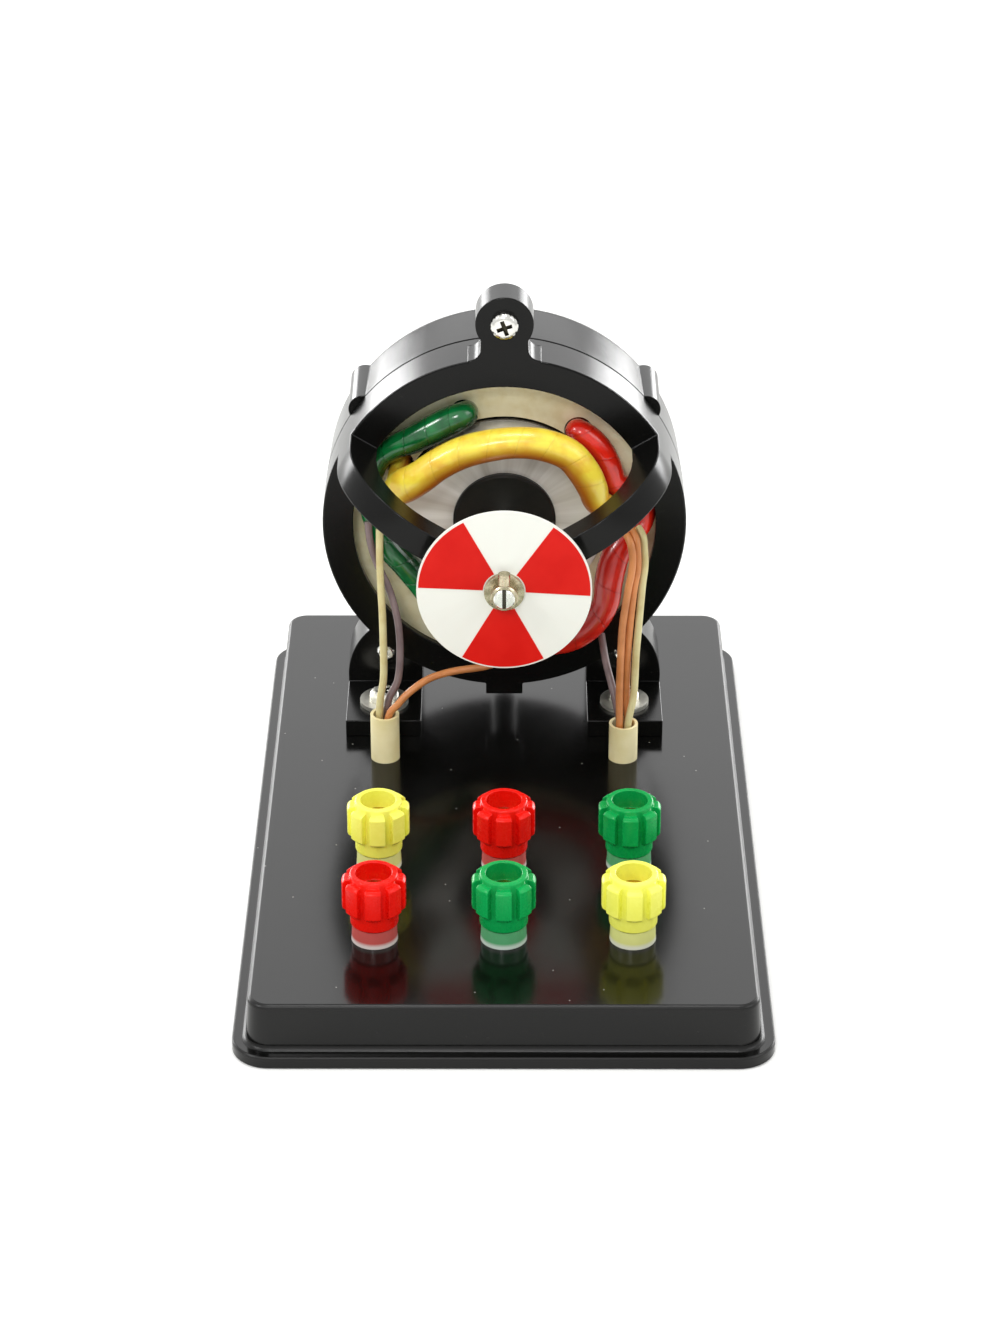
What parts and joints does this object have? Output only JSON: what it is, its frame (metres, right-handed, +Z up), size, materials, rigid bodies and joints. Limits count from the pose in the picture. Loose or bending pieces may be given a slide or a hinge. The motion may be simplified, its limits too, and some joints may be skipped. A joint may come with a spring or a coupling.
{
  "type": "demonstration induction motor",
  "caption": "Teaching model of an induction motor: open ring housing with bound coils and rotor, red and white disc, and coloured binding posts on a hollow base.",
  "frame": {"origin": "middle of the base's footprint, on the table", "axes": "+Z up, +Y towards the back, along the motor's shaft, +X to the right seen from the disc"},
  "size_m": [0.12, 0.19, 0.128],
  "materials": {
    "black_plastic": "high gloss moulded, mirror smooth on the platform",
    "insulation": "satin cream insulation board",
    "sleeve_cream": "satin cream sleeving",
    "steel": "bright zinc plated",
    "iron": "dull laminated iron",
    "cage_metal": "cast and faced, fine radial brushing",
    "hub_black": "satin black",
    "disc_white": "silver white satin, bright thin rim",
    "disc_red": "smooth red film",
    "brass": "plain turned",
    "coil_yellow": "satin yellow binding tape",
    "coil_green": "satin green binding tape",
    "coil_red": "satin red binding tape",
    "wire_yellow": "satin yellow cream wire",
    "wire_purple": "satin dull purple wire",
    "wire_orange": "satin orange wire",
    "clear_skirt": "clear, tinted by its knob",
    "knob_yellow": "smooth moulded",
    "knob_red": "smooth moulded",
    "knob_green": "smooth moulded"
  },
  "bodies": {
    "stand": {"base_tray": "black_plastic", "rear_frame": "black_plastic", "front_frame": "black_plastic", "stator_core": "iron", "front_insulation": "insulation", "rear_insulation": "insulation", "coil_yellow": "coil_yellow", "coil_green": "coil_green", "coil_red": "coil_red", "front_bush": "brass", "rear_bush": "brass", "lug_screw": "steel", "lug_nut": "steel", "clamp_screws": "steel", "rear_lug_screws": "steel", "foot_screws": "steel", "foot_washers": "steel", "foot_nuts": "steel", "wire_sleeves": "sleeve_cream", "wire_left_yellow": "wire_yellow", "wire_left_purple": "wire_purple", "wire_left_orange": "wire_orange", "wire_right_purple": "wire_purple", "wire_right_orange_a": "wire_orange", "wire_right_orange_b": "wire_orange", "wire_right_cream": "wire_yellow", "terminal_studs": "brass", "terminal_skirts": "clear_skirt", "terminal_nuts": "brass", "solder_tags": "brass"},
    "rotor": {"shaft": "steel", "rotor_core": "iron", "rotor_cage": "cage_metal", "rotor_hub": "hub_black", "indicator_disc": "disc_white", "red_sectors": "disc_red", "disc_boss": "steel", "boss_set_screw": "steel", "thrust_washers": "steel", "retaining_rings": "steel"},
    "insert_body_back_left": {"insert_back_left": "brass"},
    "knob_body_back_left": {"knob_back_left": "knob_yellow"},
    "insert_body_back_middle": {"insert_back_middle": "brass"},
    "knob_body_back_middle": {"knob_back_middle": "knob_red"},
    "insert_body_back_right": {"insert_back_right": "brass"},
    "knob_body_back_right": {"knob_back_right": "knob_green"},
    "insert_body_front_left": {"insert_front_left": "brass"},
    "knob_body_front_left": {"knob_front_left": "knob_red"},
    "insert_body_front_middle": {"insert_front_middle": "brass"},
    "knob_body_front_middle": {"knob_front_middle": "knob_green"},
    "insert_body_front_right": {"insert_front_right": "brass"},
    "knob_body_front_right": {"knob_front_right": "knob_yellow"}
  },
  "joints": [
    {"name": "rotor_spin", "type": "hinge", "parent": "stand", "child": "rotor", "pos_m": [0, 0.02, 0.0686], "axis": [0, -1, 0], "continuous": true},
    {"name": "knob_lift_back_left", "type": "slide", "parent": "stand", "child": "insert_body_back_left", "axis": [0, 0, 1], "range_m": [0, 0.004]},
    {"name": "knob_turn_back_left", "type": "hinge", "parent": "insert_body_back_left", "child": "knob_body_back_left", "pos_m": [-0.029, -0.032, 0.024], "axis": [0, 0, 1], "range_deg": [-3, 1803]},
    {"name": "knob_lift_back_middle", "type": "slide", "parent": "stand", "child": "insert_body_back_middle", "axis": [0, 0, 1], "range_m": [0, 0.004]},
    {"name": "knob_turn_back_middle", "type": "hinge", "parent": "insert_body_back_middle", "child": "knob_body_back_middle", "pos_m": [0, -0.032, 0.024], "axis": [0, 0, 1], "range_deg": [-3, 1803]},
    {"name": "knob_lift_back_right", "type": "slide", "parent": "stand", "child": "insert_body_back_right", "axis": [0, 0, 1], "range_m": [0, 0.004]},
    {"name": "knob_turn_back_right", "type": "hinge", "parent": "insert_body_back_right", "child": "knob_body_back_right", "pos_m": [0.029, -0.032, 0.024], "axis": [0, 0, 1], "range_deg": [-3, 1803]},
    {"name": "knob_lift_front_left", "type": "slide", "parent": "stand", "child": "insert_body_front_left", "axis": [0, 0, 1], "range_m": [0, 0.004]},
    {"name": "knob_turn_front_left", "type": "hinge", "parent": "insert_body_front_left", "child": "knob_body_front_left", "pos_m": [-0.029, -0.0635, 0.024], "axis": [0, 0, 1], "range_deg": [-3, 1803]},
    {"name": "knob_lift_front_middle", "type": "slide", "parent": "stand", "child": "insert_body_front_middle", "axis": [0, 0, 1], "range_m": [0, 0.004]},
    {"name": "knob_turn_front_middle", "type": "hinge", "parent": "insert_body_front_middle", "child": "knob_body_front_middle", "pos_m": [0, -0.0635, 0.024], "axis": [0, 0, 1], "range_deg": [-3, 1803]},
    {"name": "knob_lift_front_right", "type": "slide", "parent": "stand", "child": "insert_body_front_right", "axis": [0, 0, 1], "range_m": [0, 0.004]},
    {"name": "knob_turn_front_right", "type": "hinge", "parent": "insert_body_front_right", "child": "knob_body_front_right", "pos_m": [0.029, -0.0635, 0.024], "axis": [0, 0, 1], "range_deg": [-3, 1803]}
  ],
  "couplings": [
    {"joint": "knob_turn_back_left", "follows": "knob_lift_back_left", "rad_per_m": 7854},
    {"joint": "knob_turn_back_middle", "follows": "knob_lift_back_middle", "rad_per_m": 7854},
    {"joint": "knob_turn_back_right", "follows": "knob_lift_back_right", "rad_per_m": 7854},
    {"joint": "knob_turn_front_left", "follows": "knob_lift_front_left", "rad_per_m": 7854},
    {"joint": "knob_turn_front_middle", "follows": "knob_lift_front_middle", "rad_per_m": 7854},
    {"joint": "knob_turn_front_right", "follows": "knob_lift_front_right", "rad_per_m": 7854}
  ]
}
